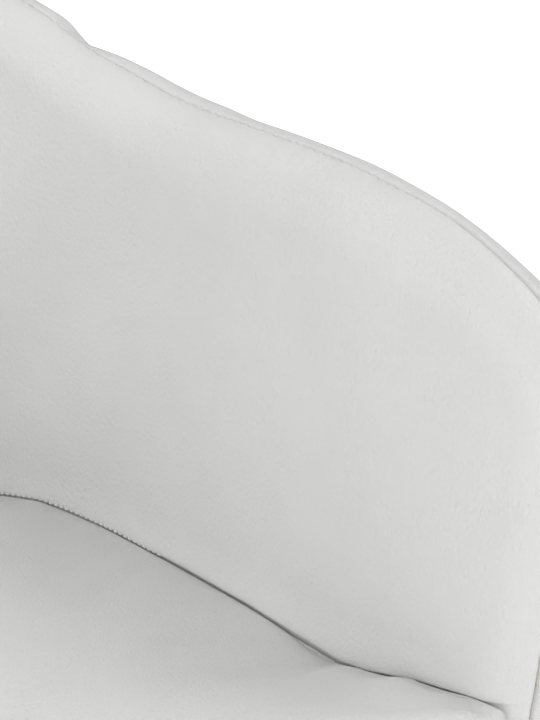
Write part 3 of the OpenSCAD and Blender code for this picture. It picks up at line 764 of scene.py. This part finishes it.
def seat_outline(step):
    """The seat plan at the crease, every step mm: x, y and the outward normal."""
    x, y, n = back_points(90*np.sin(np.radians(np.linspace(90, -90, 721))))
    back = np.column_stack([x, y, n])
    ys = np.arange(-1.0, -ARM + SEAT_CORNER, -1.0)
    arm = np.column_stack([np.full(len(ys), -SEAT_HW), ys, np.full(len(ys), -1.0), np.zeros(len(ys))])
    a = np.radians(np.linspace(0, 78, 40))
    cx, cy = SEAT_CORNER - SEAT_HW, SEAT_CORNER - ARM
    corner = np.column_stack([cx - SEAT_CORNER*np.cos(a), cy - SEAT_CORNER*np.sin(a), -np.cos(a), -np.sin(a)])
    half = SEAT_HW - SEAT_CORNER
    bx = np.linspace(-half*0.985, half*0.985, 300)
    slope = 2*FRONT_BOW*bx/half**2
    g = np.hypot(slope, 1)
    bow = np.column_stack([bx, -ARM - FRONT_BOW*(1 - (bx/half)**2), slope/g, -1/g])
    mirror = np.array([-1, 1, -1, 1])
    loop = np.concatenate([back, arm, corner, bow, corner[::-1]*mirror, arm[::-1]*mirror])
    loop = np.vstack([loop, loop[:1]])
    run = np.r_[0, np.cumsum(np.linalg.norm(np.diff(loop[:, :2], axis=0), axis=1))]
    keep = np.r_[True, np.diff(run) > 1e-6]
    loop, run = loop[keep], run[keep]
    at = np.linspace(0, run[-1], int(run[-1]/step), endpoint=False)
    out = np.column_stack([np.interp(at, run, loop[:, k]) for k in range(4)])
    out[:, 2:] = unit(out[:, 2:])
    return out


# the edge against the wall: [distance in, height under the meeting line]; the front edge rolls over instead
WALL_EDGE = np.array([(0.9, -12.0), (0.9, -8.0), (0.9, -5.5), (0.9, -4.0), (1.0, -3.0),
                      (1.3, -2.2), (1.8, -1.5), (2.4, -1.0), (3.2, -0.6)])
INWARD = np.concatenate([[1.0, 2.2, 3.6, 5.2, 7.0, 9.0, 11.2, 13.6], np.arange(16.2, 188, 2.8), [188.0]])


def cushion_rings(step, thin):
    """Rings from the cushion's bottom edge up its sides, over the edge and in to the middle of the top."""
    out = seat_outline(step)
    base, nrm = out[:, :2], out[:, 2:]
    y = base[:, 1]
    fr = smooth((np.maximum(0, -nrm[:, 1]) - 0.12)/0.55)
    meet = np.where(base[:, 0] > 0, crease_line(y), crease_line(y)*0.9)
    floor = BOARD_TOP + 0.7 - CREASE
    rings = []

    def add(h, inset):
        o = LEAN*h*(1 - fr) - inset
        rings.append(np.column_stack([base + nrm*o[:, None], CREASE + h]))

    for k in np.linspace(0, 1, 9)[:-1]:
        add(floor + (SIDE_TOP - floor)*k + 0*fr, 0.9 + 1.6*np.sin(math.pi*k)*-fr)
    for dz in ([-3.2, -1.8, -0.9, -0.4, 0.0, 0.4, 0.9, 1.8, 3.2] if not thin else [-3.0, 0.0, 3.0]):
        groove = 1.5*np.exp(-abs(dz)/0.5)*fr
        add(SIDE_SEAM + dz + 0*fr, 0.9 + groove)
    for k, (inset, h) in enumerate(WALL_EDGE):
        a = math.radians(90*(k + 1)/len(WALL_EDGE))
        add((meet + h)*(1 - fr) + fr*(FRONT_TOP - FRONT_ROLL[1]*(1 - math.sin(a))),
            inset*(1 - fr) + fr*(0.9 + FRONT_ROLL[0]*(1 - math.cos(a))))
    edge_count = len(rings)
    last = rings[-1]
    centre = np.array([0.0, -6.0])
    edge_h = last[:, 2] - CREASE
    for d in (INWARD if not thin else INWARD[::3]):
        shrink = 1 - d/HALF_DEPTH
        p = centre + (last[:, :2] - centre)*max(shrink, 0.012)
        reach = np.clip(np.linalg.norm(last[:, :2] - centre, axis=1)/HALF_DEPTH, 0.2, 1)
        rho = np.linalg.norm(p - last[:, :2], axis=1)*reach**-0.15
        dome = np.sin(math.pi/2*np.clip(rho/DOME_REACH, 0, 1))**1.05
        h = CROWN - (CROWN - edge_h)*(1 - dome)
        rings.append(np.column_stack([p, CREASE + h]))
    return np.stack(rings), edge_count


def cushion_detail(R, edge_count):
    """Tucks and swellings beside the arms, and slow fullness all over the top."""
    P = R.copy()
    x, y = P[..., 0], P[..., 1]
    top = np.zeros(P.shape[:2])
    top[edge_count - 3:] = 1
    for side, strength in ((1, 1.0), (-1, 0.45)):
        rho = np.maximum(0, SEAT_HW - side*x)
        near = top*np.where(side*x > 0, 1, 0)*strength
        # the cover is pinched into the crease just behind the front end of the arm
        depth = smooth((-58 - y)/34)*(1 - smooth((-92 - y)/9))
        P[..., 2] -= near*2.7*depth*np.exp(-(rho/13.0)**1.6)
        P[..., 2] += near*2.6*smooth((-99 - y)/12)*np.exp(-((rho - 15)/13)**2)*(1 + 0.35*np.sin(y/4.6))
    rho = np.linalg.norm(R[..., :2] - R[edge_count - 1][None, :, :2], axis=2)
    free = smooth(rho/16)
    P[..., 2] += top*free*(0.9*noise2(x/62 + 3, y/57 + 7, 41) + 0.3*noise2(x/23, y/26, 42))
    # fine creases running out of the seams
    s = np.cumsum(np.r_[0, np.linalg.norm(np.diff(R[edge_count - 1][:, :2], axis=0), axis=1)])[None]
    P[..., 2] += top*np.exp(-rho/9.0)*smooth(rho/2.5)*0.22*noise2(s/3.4, rho/16.0, 43)
    return P


def closed_rings(name, R, material):
    """A closed solid from a stack of rings, closed to a point underneath and at the top."""
    m, n = R.shape[:2]
    pts = np.vstack([R.reshape(-1, 3), R[-1].mean(0), R[0].mean(0)])
    faces = grid_faces(m, n, wrap_j=True)
    t, b = m*n, m*n + 1
    for j in range(n):
        faces.append(((m - 1)*n + j, (m - 1)*n + (j + 1) % n, t))
        faces.append(((j + 1) % n, j, b))
    return mesh_object(name, pts, faces, material)


def cloth_settle(R, edge_count):
    """How the cover settles over its foam: a cloth run on a coarse cushion, as moves in mm for its grid."""
    obj = closed_rings("cushion_cloth", R, MATS["seat"])
    m, n = R.shape[:2]
    pins = obj.vertex_groups.new(name="pins")
    pins.add(list(range((edge_count - 1)*n)) + [m*n + 1], 1.0, "REPLACE")
    pins.add(list(range((edge_count - 1)*n, edge_count*n)), 0.9, "REPLACE")
    cloth = obj.modifiers.new("cloth", "CLOTH")
    c = cloth.settings
    c.quality = 6
    c.mass = 0.4
    c.tension_stiffness = c.compression_stiffness = 18
    c.shear_stiffness = 8
    c.bending_stiffness = 1.2
    c.use_pressure = True
    c.uniform_pressure_force = 4.0
    c.vertex_group_mass = "pins"
    c.shrink_min = -0.008
    c.effector_weights.gravity = 0.0
    cloth.collision_settings.use_collision = False
    cloth.point_cache.frame_start, cloth.point_cache.frame_end = 1, 20
    for frame_no in range(1, 21):
        scene.frame_set(frame_no)
    done = obj.evaluated_get(bpy.context.evaluated_depsgraph_get())
    co = np.empty(len(done.data.vertices)*3)
    done.data.vertices.foreach_get("co", co)
    scene.frame_set(1)
    move = co.reshape(-1, 3)[:m*n].reshape(m, n, 3)/MM - R
    bpy.data.objects.remove(obj)
    size = np.linalg.norm(move, axis=2, keepdims=True)
    return move*np.minimum(1, 3.0/np.maximum(size, 1e-6))


def spread(move, coarse_rows, fine_rows, n):
    """Moves on the coarse grid carried to the fine grid, ring by ring and round each ring."""
    m, k = move.shape[:2]
    wrapped = np.concatenate([move, move[:, :1]], axis=1)
    at = np.linspace(0, k, n, endpoint=False)
    lo = at.astype(int)
    f = (at - lo)[None, :, None]
    around = wrapped[:, lo]*(1 - f) + wrapped[:, lo + 1]*f
    out = np.empty((len(fine_rows), n, 3))
    for j in range(n):
        for axis in range(3):
            out[:, j, axis] = np.interp(fine_rows, coarse_rows, around[:, j, axis])
    return out


fine_rings, fine_edge = cushion_rings(2.6, False)
coarse_rings, coarse_edge = cushion_rings(8.0, True)
settled = cloth_settle(coarse_rings, coarse_edge)
# a ring's place: 0 to 1 up the side, then 1 to 2 over the top
where_c = np.r_[np.linspace(0, 1, coarse_edge), 1 + INWARD[::3]/HALF_DEPTH]
where_f = np.r_[np.linspace(0, 1, fine_edge), 1 + INWARD/HALF_DEPTH]
moves = spread(settled, where_c, where_f, fine_rings.shape[1])
moves[:fine_edge] = 0
fine_rings = fine_rings + moves
cushion_grid = cushion_detail(fine_rings, fine_edge)
seat = closed_rings("seat_cushion", cushion_grid, MATS["seat"])
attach(seat, "seat")
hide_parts("seat_cover", "seat_foam")


# ---------------------------------------------------------------- front apron and dust cloth

def apron(material):
    """The padded strip over the front of the seat board, wrapped round both corners and turned under."""
    out = seat_outline(2.2)
    front = out[out[:, 1] < -ARM + SEAT_CORNER - 4]
    front = front[np.argsort(front[:, 0])]
    # at each end it folds forward again to meet the band on the arm's front
    fold = np.array([(-0.4, 9.6), (0.6, 8.2), (1.6, 6.6), (2.4, 5.1), (3.2, 3.6)]) + np.array([SEAT_HW, -ARM])
    fold = np.column_stack([fold, np.broadcast_to([-0.85, -0.53], (5, 2))])
    front = np.concatenate([(fold*np.array([-1, 1, -1, 1]))[::-1], front, fold])
    half = np.array([0, 0, 0.01, 0.04, 0.09, 0.16, 0.26, 0.38])
    v = np.concatenate([half, [0.5], 1 - half[::-1]])
    # how far in the strip is turned at its lower and its upper edge
    turned = np.array([6.0, 3.2, 1.9, 1.0, 0.5, 0.2, 0, 0, 0, 0, 0, 0, 0.1, 0.4, 1.0, 2.2, 5.0])
    run = np.r_[0, np.cumsum(np.linalg.norm(np.diff(front[:, :2], axis=0), axis=1))][:, None]
    lo, hi = TUB_BOTTOM + 0.2, BOARD_TOP + 0.5
    puff = 0.9*np.maximum(0, np.sin(math.pi*v))[None]**0.7
    puff = puff + 0.18*noise2(run/7.0, v[None]*1.5, 51) + 0.1*noise2(run/3.0, v[None]*2.0, 52)
    o = -0.9 - turned[None] + puff
    xy = front[:, None, :2] + front[:, None, 2:]*o[..., None]
    P = np.concatenate([xy, np.broadcast_to((lo + (hi - lo)*v)[None, :, None], xy.shape[:2] + (1,))], axis=2)
    N = grid_normals(P)
    if N[len(N)//2, len(v)//2, 1] > 0:
        P, N = P[::-1], -N[::-1]
    obj = sheet_solid("front_apron_cover", P, N, 1.2, material)
    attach(obj, "seat")
    return obj


def outlines(obj):
    """The closed outlines of a flat plate's top face, longest first, in mm."""
    mesh = obj.data
    flat = [p for p in mesh.polygons if p.normal.z > 0.9]
    use = {}
    for p in flat:
        for e in p.edge_keys:
            use[e] = use.get(e, 0) + 1
    key = [tuple(round(c*1e5) for c in v.co) for v in mesh.vertices]
    merged = {}
    for (a, b), count in use.items():
        pair = tuple(sorted((key[a], key[b])))
        merged[pair] = merged.get(pair, 0) + count
    link = {}
    for (a, b), count in merged.items():
        if count == 1:
            link.setdefault(a, []).append(b)
            link.setdefault(b, []).append(a)
    loops = []
    while link:
        start = min(link)
        loop, last, here = [start], None, start
        while True:
            onward = [p for p in link[here] if p != last]
            last, here = here, onward[0]
            if here == start:
                break
            loop.append(here)
        for p in loop:
            link.pop(p)
        loops.append(np.array(loop, float)/100.0)
    return sorted(loops, key=lambda l: -np.abs(np.diff(l, axis=0)).sum())


BOX_FACES = ((3, 2, 1, 0), (4, 5, 6, 7), (0, 1, 5, 4), (1, 2, 6, 5), (2, 3, 7, 6), (3, 0, 4, 7))
STAPLES = 46


def dust_cloth(material, steel):
    """Thin black cloth under the board, sagging a little between its staples, open at the mechanism."""
    outer, inner = outlines(frame["nodes"]["dust_cover"])[:2]
    ring = resample(np.vstack([outer, outer[:1]]), 6.0)[:-1]
    mid_y = inner[:, 1].mean()
    half_x, half_y = np.abs(inner[:, 0]).max(), np.abs(inner[:, 1] - mid_y).max()
    d = ring[:, :2] - np.array([0, mid_y])
    hole = np.array([0, mid_y]) + d/np.maximum(np.abs(d[:, :1])/half_x, np.abs(d[:, 1:])/half_y)
    v = np.linspace(0, 1, 26)
    xy = ring[None, :, :2]*(1 - v)[:, None, None] + hole[None]*v[:, None, None]
    run = np.r_[0, np.cumsum(np.linalg.norm(np.diff(ring[:, :2], axis=0), axis=1))]
    held = 0.5 - 0.5*np.cos(2*math.pi*run/run[-1]*STAPLES)
    edge = np.exp(-v*9)[:, None]
    sag = -1.1*np.sin(math.pi*v)[:, None]**0.8*(1 + 0.5*noise2(xy[..., 0]/60, xy[..., 1]/60, 61))
    sag -= 0.6*edge*held[None]*smooth(v*12)[:, None]
    sag += 0.25*noise2(xy[..., 0]/14, xy[..., 1]/19, 62)*np.sin(math.pi*v)[:, None]
    z = TUB_BOTTOM + 1.1 + sag
    lower = np.concatenate([xy, z[..., None]], axis=2)
    upper = lower + np.array([0, 0, 0.6])
    m, n = v.size, len(ring)
    pts = np.concatenate([upper.reshape(-1, 3), lower.reshape(-1, 3)])
    faces = grid_faces(m, n, wrap_j=True, flip=True) + grid_faces(m, n, wrap_j=True, start=m*n)
    for j in range(n):
        k = (j + 1) % n
        faces.append((j, k, m*n + k, m*n + j))
        a, b = (m - 1)*n + j, (m - 1)*n + k
        faces.append((b, a, m*n + a, m*n + b))
    cloth = mesh_object("dust_cloth", pts, faces, material)
    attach(cloth, "seat")
    # staples lie across the edge on the cloth's high points
    boxes, quads = [], []
    for k in range(STAPLES):
        at = k/STAPLES*run[-1]
        j = int(np.searchsorted(run, at)) % n
        p, q = ring[j, :2], ring[(j + 1) % n, :2]
        along = (q - p)/max(np.linalg.norm(q - p), 1e-6)
        inward = np.array([-along[1], along[0]])
        if np.dot(inward, -p) < 0:
            inward = -inward
        c = p + inward*5.0
        low = TUB_BOTTOM + 0.45
        base = len(boxes)
        for dz in (0.0, 0.75):
            for du, dw in ((-5, -0.45), (5, -0.45), (5, 0.45), (-5, 0.45)):
                boxes.append((*(c + along*du + inward*dw), low + dz))
        quads += [tuple(base + i for i in face) for face in BOX_FACES]
    staples = mesh_object("dust_cloth_staples", boxes, quads, steel, smooth_shading=False)
    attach(staples, "seat")
    return cloth, staples


apron_cover = apron(MATS["band"])
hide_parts("front_apron")
cloth, staples = dust_cloth(MATS["felt"], MATS["zinc_steel"])
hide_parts("dust_cover")


# ---------------------------------------------------------------- carried-over CAD nodes

slots = {p["node"]: p["material_slot"] for p in frame["record"]["subparts"]}
for name, obj in frame["nodes"].items():
    obj.data.materials.clear()
    obj.data.materials.append(MATS.get(slots[name], MATS["panel"]))
    obj.data.polygons.foreach_set("use_smooth", [True]*len(obj.data.polygons))
    obj.data.set_sharp_from_angle(angle=math.radians(32))

# ---------------------------------------------------------------- floor, light and camera

floor_mat, nt, bsdf, co = new_material("studio_floor")
tone = noise_tex(nt, co, 3.0, 2.0)
pale = ramp(nt, tone, [(0.3, (0.93, 0.93, 0.93)), (0.7, (0.945, 0.945, 0.945))])
glossy = nt.nodes.new("ShaderNodeLightPath").outputs["Is Glossy Ray"]
shade = node(nt, "ShaderNodeMix", data_type="RGBA")
nt.links.new(glossy, shade.inputs[0])
nt.links.new(pale, shade.inputs[6])
shade.inputs[7].default_value = (0.5, 0.5, 0.5, 1)
nt.links.new(shade.outputs[2], bsdf.inputs["Base Color"])
bsdf.inputs["Roughness"].default_value = 0.9
bsdf.inputs["Emission Color"].default_value = (1, 1, 1, 1)
far = nt.nodes.new("ShaderNodeVectorMath")
far.operation = "LENGTH"
nt.links.new(co, far.inputs[0])
glow = remap(nt, far.outputs["Value"], 0.5, 1.2, 1.2, 3.5)
nt.links.new(math_node(nt, "MULTIPLY", glow, remap(nt, glossy, 1.0, 0.0)), bsdf.inputs["Emission Strength"])
bpy.ops.mesh.primitive_circle_add(vertices=96, radius=30, fill_type="NGON", location=(0, 0, -0.0005))
floor = bpy.context.object
floor.name = "studio_floor"
floor.data.materials.append(floor_mat)

world = bpy.data.worlds.new("studio")
scene.world = world
world.use_nodes = True
nt = world.node_tree
sky = nt.nodes["Background"]
path = nt.nodes.new("ShaderNodeLightPath")
direction = nt.nodes.new("ShaderNodeSeparateXYZ")
nt.links.new(nt.nodes.new("ShaderNodeTexCoord").outputs["Generated"], direction.inputs[0])
# bright metal sees a dim horizon under a pale ceiling; everything else sees an even soft white
ceiling = remap(nt, direction.outputs["Z"], 0.1, 0.7, 0.05, 0.75)
level = node(nt, "ShaderNodeMix")
nt.links.new(path.outputs["Is Glossy Ray"], level.inputs[0])
level.inputs[2].default_value = 0.35
nt.links.new(ceiling, level.inputs[3])
seen = node(nt, "ShaderNodeMix")
nt.links.new(path.outputs["Is Camera Ray"], seen.inputs[0])
nt.links.new(level.outputs[0], seen.inputs[2])
seen.inputs[3].default_value = 1.0
sky.inputs[0].default_value = (1.0, 1.0, 1.0, 1)
nt.links.new(seen.outputs[0], sky.inputs[1])


def softbox(name, at, look, power):
    light = bpy.data.lights.new(name, "AREA")
    light.shape = "RECTANGLE"
    light.size, light.size_y = 1.5, 1.5
    light.energy = power
    o = bpy.data.objects.new(name, light)
    scene.collection.objects.link(o)
    o.location = at
    o.rotation_euler = (look - at).to_track_quat("-Z", "Y").to_euler()


mid = Vector((0, 0, CREASE*MM + 0.1))
# name, azimuth and elevation in degrees, watts
LIGHTS = [("key", -60, 20, 20), ("front_left", -100, 45, 16), ("front_right", 20, 30, 4),
          ("right", 60, 40, 24), ("rear", 180, 60, 12)]
for name, azimuth, elevation, power in LIGHTS:
    a, e = math.radians(azimuth), math.radians(elevation)
    aim = Vector((math.sin(a)*math.cos(e), -math.cos(a)*math.cos(e), math.sin(e)))
    softbox(name, mid + aim*2.6, mid, power)

camera = bpy.data.objects.new("camera", bpy.data.cameras.new("camera"))
scene.collection.objects.link(camera)
camera.data.lens = 68.9
camera.data.sensor_width = 36.0
az, el, reach = math.radians(-47.02), math.radians(26.38), 0.6142
target = Vector((0.2521, -0.0211, CREASE*MM + 0.1029))
back = Vector((math.sin(az)*math.cos(el), -math.cos(az)*math.cos(el), math.sin(el)))
camera.location = target + back*reach
camera.rotation_euler = (-back).to_track_quat("-Z", "Y").to_euler()
camera.data.clip_start = 0.01
scene.camera = camera
scene.view_settings.view_transform = "Standard"
